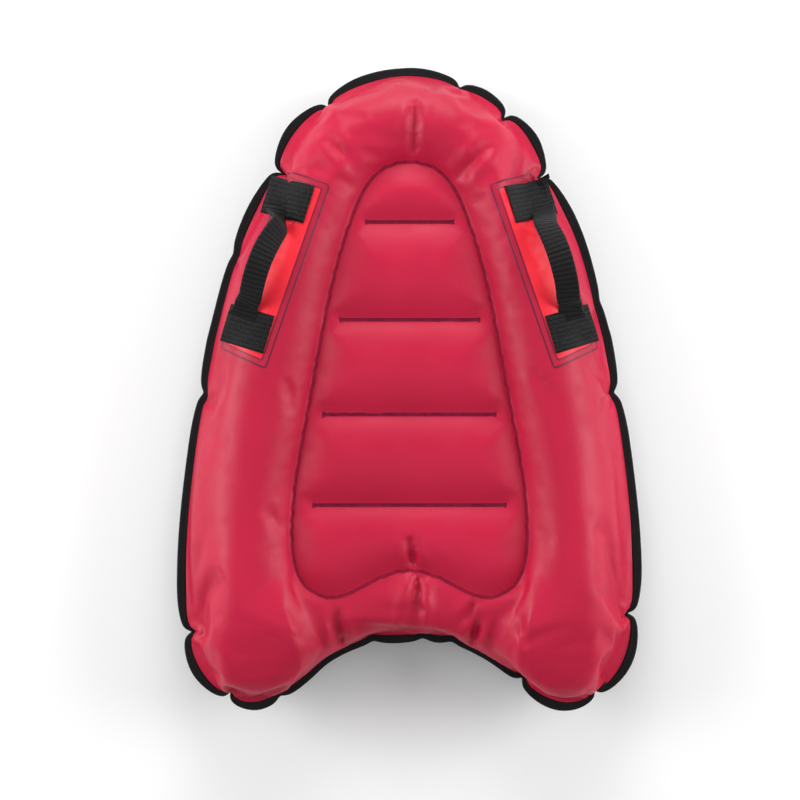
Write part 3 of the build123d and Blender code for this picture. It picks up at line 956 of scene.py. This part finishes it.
def loop_round(width, thick, groove=False):
    """Cross-section of webbing: flat faces and rounded edges, as (across, up) pairs."""
    half, up = width / 2, thick / 2
    turn = up * 0.9
    right = [(half - turn, up), (half - 0.3 * turn, up * 0.8), (half, up * 0.3)]
    mirrored = [(x, -z) for x, z in reversed(right)]
    if groove:
        right.append((half - 0.8 * turn, 0))
    right += mirrored
    steps = [half * k / 3 for k in (2, 1, 0, -1, -2)]
    top = [(x * 0.9, up) for x in reversed(steps)]
    left = [(-half + turn, -up), (-half + 0.3 * turn, -up * 0.8), (-half, -up * 0.3)]
    left += [(x, -z) for x, z in reversed(left)]
    under = [(x * 0.9, -up) for x in steps]
    return top + right + under + left


def sewn_end(side, place, centre, along):
    """A flat sewn end of webbing, laid on the patch."""
    across = np.array([-along[1], along[0]])
    rows, lay = [], []
    section = loop_round(WEBBING_WIDTH, WEBBING_THICK)
    level = drop(COVERED, *centre)[0].z
    for i in range(TAB_STEPS + 1):
        run = TAB_LENGTH * (i / TAB_STEPS - 0.5)
        shrink = TAB_CUT if i in (0, TAB_STEPS) else 1.0
        row = []
        for x, up in section:
            spot = centre + along * run + across * x
            hit, facing = drop(COVERED, *spot)
            hit.z = max(hit.z, level - SAG_LIMIT * norm(spot - centre))
            facing = (facing + Vector((0, 0, 1))).normalized()
            row.append(Vector((*spot, hit.z)) + facing * (WEBBING_THICK * TAB_SIT + up * shrink))
            lay.append((x, run, up))
        rows.append(np.array(row))
    return recalculated(soft(ribbon(f"{side}_{place}_end", rows, lay), 0))


STITCH_INSET = 0.0045  # from a sewn end's border
STITCH_PITCH = 0.0034
STITCH_LONG = 0.0026
STITCH_RADIUS = 0.00045
THREAD_SIDES = 5
THREAD_PROFILE = ((-0.5, 0.3), (-0.3, 1.0), (0.3, 1.0), (0.5, 0.3))  # share along a stitch, thickness


def stitch_lines():
    """A box with a cross in it, as runs in a sewn end's own plan."""
    x, y = WEBBING_WIDTH / 2 - STITCH_INSET, TAB_LENGTH / 2 - STITCH_INSET
    corners = [(-x, -y), (x, -y), (x, y), (-x, y)]
    box = list(zip(corners, corners[1:] + corners[:1]))
    return box + [(corners[0], corners[2]), (corners[1], corners[3])]


def stitching(side, ends, along, tree):
    """Rows of short raised stitches on both sewn ends."""
    grid, quads = [], []
    across = np.array([-along[1], along[0]])
    for centre in ends:
        for start, end in stitch_lines():
            start, end = np.array(start), np.array(end)
            run = norm(end - start)
            way = (end - start) / run
            for k in range(int(run / STITCH_PITCH)):
                spot = start + way * (k + 0.5) * STITCH_PITCH
                plan = centre + across * spot[0] + along * spot[1]
                hit, facing = drop(tree, *plan)
                line = Vector((*(across * way[0] + along * way[1]), 0))
                line = (line - facing * line.dot(facing)).normalized()
                side_way = facing.cross(line)
                first = len(grid)
                for share, thick in THREAD_PROFILE:
                    for turn in range(THREAD_SIDES):
                        a = 2 * math.pi * turn / THREAD_SIDES
                        ring = (side_way * math.cos(a) + facing * math.sin(a)) * STITCH_RADIUS * thick
                        sink = facing * STITCH_RADIUS * (0.2 if thick == 1.0 else -0.6)
                        grid.append(hit + line * share * STITCH_LONG + ring + sink)
                quads += bands(len(THREAD_PROFILE), THREAD_SIDES, first=first)
    return recalculated(soft(plain_object(f"{side}_thread", grid, quads), 0))


def grip_arch(side):
    """A CAD grip's arch: its hinge's middle and direction, half its length, and its rise to the crown."""
    joint = next(j for j in frame["joints"] if j["name"] == f"{side}_grip_hinge")
    centre = Vector(joint["pos_m"])
    axis = Vector(joint["axis"]).normalized()
    body = vertices_of(f"{side}_grip")
    reach = max(abs(Vector(v - np.array(centre)).dot(axis)) for v in body)
    crown = max(body, key=lambda v: (Vector(v) - centre - axis * (Vector(v) - centre).dot(axis)).length)
    rise = Vector(crown) - centre
    rise -= axis * rise.dot(axis)
    return centre, axis, reach, rise


# How each slack strap strays from the straight line between its ends, seen along it from front to
# rear: share of the way, outboard sway in metres, and twist in degrees.
STRAP_SWAY = {
    "left": [(0.0, 0.002, 0), (0.22, -0.005, 48), (0.45, -0.002, 12), (0.75, 0.002, -6), (1.0, 0.005, 0)],
    "right": [(0.0, 0.004, 0), (0.30, 0.002, -16), (0.55, 0.001, 8), (0.80, 0.002, 14), (1.0, -0.001, 0)],
}
STRAP_STEP = 0.0022
STRAP_LAP = 0.012  # how far the strap runs in over each sewn end
BLEND_SHARE = 0.22  # part of the arch that bends between the board and the grip
STRAP_LEAVES = ((-STRAP_LAP, 0.0), (-0.002, 0.0006), (0.0045, 0.004))  # past a sewn end's edge, and up
STRAP_GAP = 0.0006
STRAP_ARCH = (-0.82, -0.62, -0.32, 0.0, 0.32, 0.62, 0.82)  # shares of the arch's half length
STRAP_RISE = 0.93  # share of the CAD grip's rise
STRAP_SMOOTH = 14
SWAY_PASSES = 10
END_SPREAD = 0.35  # the strap's extra width where it is sewn down
END_THIN = 0.3  # the thickness that it loses there
END_SPAN = 0.05  # how far along the strap that goes, as a share


def smooth_line(points, steps):
    """A rounded line through points chosen along a route."""
    curve = bpy.data.curves.new("route", "CURVE")
    curve.dimensions = "3D"
    spline = curve.splines.new("NURBS")
    spline.points.add(len(points) - 1)
    for point, place in zip(spline.points, points):
        point.co = (*place, 1)
    spline.order_u = 3
    spline.use_endpoint_u = True
    spline.resolution_u = steps
    holder = bpy.data.objects.new("route", curve)
    line = bpy.data.meshes.new_from_object(holder)
    result = np.array([vertex.co[:] for vertex in line.vertices])
    bpy.data.objects.remove(holder)
    return result


def outboard_of(side, flat):
    """Level vector across a strap, pointing away from the board's middle."""
    across = Vector((flat.y, -flat.x, 0))
    away = 1 if side == "right" else -1
    return across if across.x * away >= 0 else -across


def strap_route(side, ends):
    """A strap's centre line between its sewn ends, its outboard way, and its rise to the crown."""
    centre, axis, reach, rise = grip_arch(side)
    front, rear = ends
    if (rear - front) @ np.array(axis[:2]) < 0:
        axis = -axis
    flat = Vector((axis.x, axis.y, 0)).normalized()
    leaves = {1: [], -1: []}
    for end, way in ((front, 1), (rear, -1)):
        edge = Vector((*end, 0)) + flat * way * (TAB_LENGTH / 2)
        for past, up in STRAP_LEAVES:
            spot = edge + flat * way * past
            hit, facing = drop(COVERED, spot.x, spot.y)
            leaves[way].append(hit + facing * (WEBBING_THICK + STRAP_THICK / 2 + STRAP_GAP + up))
    arch = [centre + axis * reach * t + rise * (1 - t * t) * STRAP_RISE for t in STRAP_ARCH]
    line = smooth_line(leaves[1] + arch + leaves[-1][::-1], STRAP_SMOOTH)
    return line, np.array(outboard_of(side, flat)), np.array(rise)


def swayed(side, line, outboard):
    """The strap's line in even steps with its sway, and each point's run along it and twist."""
    run = np.r_[0, np.cumsum(norm(np.diff(line, axis=0), axis=1))]
    place = np.linspace(0, run[-1], int(run[-1] / STRAP_STEP) + 1)
    line = np.stack([np.interp(place, run, line[:, k]) for k in range(3)], 1)
    at, sway, turn = zip(*STRAP_SWAY[side])
    swing = np.interp(place / run[-1], at, sway)
    twist = np.radians(np.interp(place / run[-1], at, turn))
    for _ in range(SWAY_PASSES):
        for values in (swing, twist):
            values[1:-1] = (values[:-2] + 2 * values[1:-1] + values[2:]) / 4
    return line + outboard * swing[:, None], place, twist


def strap_rows(line, place, twist, outboard, rise):
    """Cross-sections of the folded strap, and where each of their points lies in the webbing."""
    along = np.gradient(line, axis=0)
    along /= norm(along, axis=1)[:, None]
    section = loop_round(STRAP_WIDTH, STRAP_THICK, groove=True)
    rows, lay = [], []
    for k in range(len(line)):
        wide = outboard - along[k] * (outboard @ along[k])
        wide /= norm(wide)
        up = np.cross(along[k], wide)
        if up[2] < 0 or (abs(up[2]) < 0.2 and up @ rise < 0):
            up = -up
        turned = wide * math.cos(twist[k]) + up * math.sin(twist[k])
        lifted = -wide * math.sin(twist[k]) + up * math.cos(twist[k])
        share = place[k] / place[-1]
        near_end = math.exp(-(min(share, 1 - share) / END_SPAN) ** 2)
        spread, thick = 1 + END_SPREAD * near_end, 1 - END_THIN * near_end
        rows.append(np.array([line[k] + turned * x * spread + lifted * z * thick for x, z in section]))
        lay.append([(x, place[k], z) for x, z in section])
    return rows, lay


def strap_halves(side, ends):
    """The folded strap as two closed bands that meet at its crown, and where each one bends."""
    line, outboard, rise = strap_route(side, ends)
    line, place, twist = swayed(side, line, outboard)
    rows, lay = strap_rows(line, place, twist, outboard, rise)
    half = len(rows) // 2
    halves = []
    for end, span in (("front", slice(0, half + 1)), ("rear", slice(half, None))):
        flat_lay = [spot for row in lay[span] for spot in row]
        halves.append(recalculated(soft(ribbon(f"{side}_strap_{end}", rows[span], flat_lay), 0)))
    blend_at = int(len(line) * BLEND_SHARE)
    lap_at = int(STRAP_LAP / STRAP_STEP)
    return halves, [(line[lap_at], line[blend_at]), (line[-1 - lap_at], line[-1 - blend_at])]


def handle(side):
    """One handle: two sewn ends, their stitches, and the strap between them."""
    ends = [tab_centre(f"{side}_{place}_tab") for place in ("front", "rear")]
    along = (ends[1] - ends[0]) / norm(ends[1] - ends[0])
    laid = []
    for place, centre in zip(("front", "rear"), ends):
        made = sewn_end(side, place, centre, along)
        finish_of(made, WEBBING_MATERIAL)
        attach(made, "board")
        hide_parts(f"{side}_{place}_tab")
        laid.append(made)
    thread = stitching(side, ends, along, surface_tree(*laid))
    finish_of(thread, THREAD_MATERIAL)
    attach(thread, "board")
    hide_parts(f"{side}_stitching")
    halves, spans = strap_halves(side, ends)
    for made, (start, end) in zip(halves, spans):
        finish_of(made, WEBBING_MATERIAL)
        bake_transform(made)
    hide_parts(f"{side}_grip")


for side in ("left", "right"):
    handle(side)


# ---- carried-over CAD nodes ------------------------------------------------------------
KEPT = {
    moulded("valve_plastic_grain", (0.030, 0.030, 0.034), 0.42, 0.25): (
        "valve_body", "deflation_lid", "deflation_hinge", "inflation_cap", "inflation_hinge"),
    moulded("valve_soft_grain", (0.042, 0.042, 0.046), 0.55, 0.15): ("valve_flange",),
    moulded("seal_rubber_grain", (0.095, 0.095, 0.10), 0.6, 0.1): ("deflation_seal", "inflation_seal"),
    moulded("flap_rubber_grain", (0.70, 0.70, 0.67), 0.38, 0.1): ("check_flap",),
    baffle_fabric(): ("ring_baffle", *[f"cross_baffle_{number}" for number in (1, 2, 3, 4)]),
}
for material, nodes in KEPT.items():
    for node in nodes:
        for slot in NODES[node].material_slots:
            slot.material = material


# ---- floor, light and camera -----------------------------------------------------------
FLOOR_HALF = 6.0
floor = plain_object("floor", [(x, y, 0) for x, y in ((-1, -1), (1, -1), (1, 1), (-1, 1))], [(0, 1, 2, 3)])
floor.scale = (FLOOR_HALF, FLOOR_HALF, 1)
pale = Shader("pale_floor", (0.92, 0.92, 0.92), 0.9)
finish_of(floor, pale.material)


def soft_light(name, place, size, watts):
    """A square of soft light that faces the board."""
    light = bpy.data.lights.new(name, "AREA")
    light.size = size
    light.energy = watts
    made = bpy.data.objects.new(name, light)
    made.location = place
    made.rotation_euler = (Vector((0, 0, 0.05)) - Vector(place)).to_track_quat("-Z", "Y").to_euler()
    bpy.context.scene.collection.objects.link(made)


soft_light("left_light", (-1.9, 0.25, 0.95), 1.2, 31)
soft_light("right_light", (1.9, 0.25, 0.95), 1.2, 31)
soft_light("nose_light", (0.0, 2.1, 1.0), 1.2, 34)
soft_light("top_light", (0.0, -0.6, 3.4), 2.4, 10)

world = bpy.data.worlds.new("soft_sky")
world.use_nodes = True
sky = world.node_tree.nodes["Background"]
sky.inputs["Color"].default_value = (1, 1, 1, 1)
sky.inputs["Strength"].default_value = 0.38
bpy.context.scene.world = world
bpy.context.scene.view_settings.view_transform = "Standard"

VIEW_WIDTH = 0.88  # width of the picture at the seam's height
CAMERA_HEIGHT = 2.6
CAMERA_ASIDE = (-0.0104, -0.0110)  # the picture's centre, from the board's
camera_data = bpy.data.cameras.new("camera")
camera_data.sensor_width = 36
camera_data.lens = camera_data.sensor_width * (CAMERA_HEIGHT - SEAM_Z) / VIEW_WIDTH
camera = bpy.data.objects.new("camera", camera_data)
camera.location = (*CAMERA_ASIDE, CAMERA_HEIGHT)
bpy.context.scene.collection.objects.link(camera)
bpy.context.scene.camera = camera

bpy.context.view_layer.update()
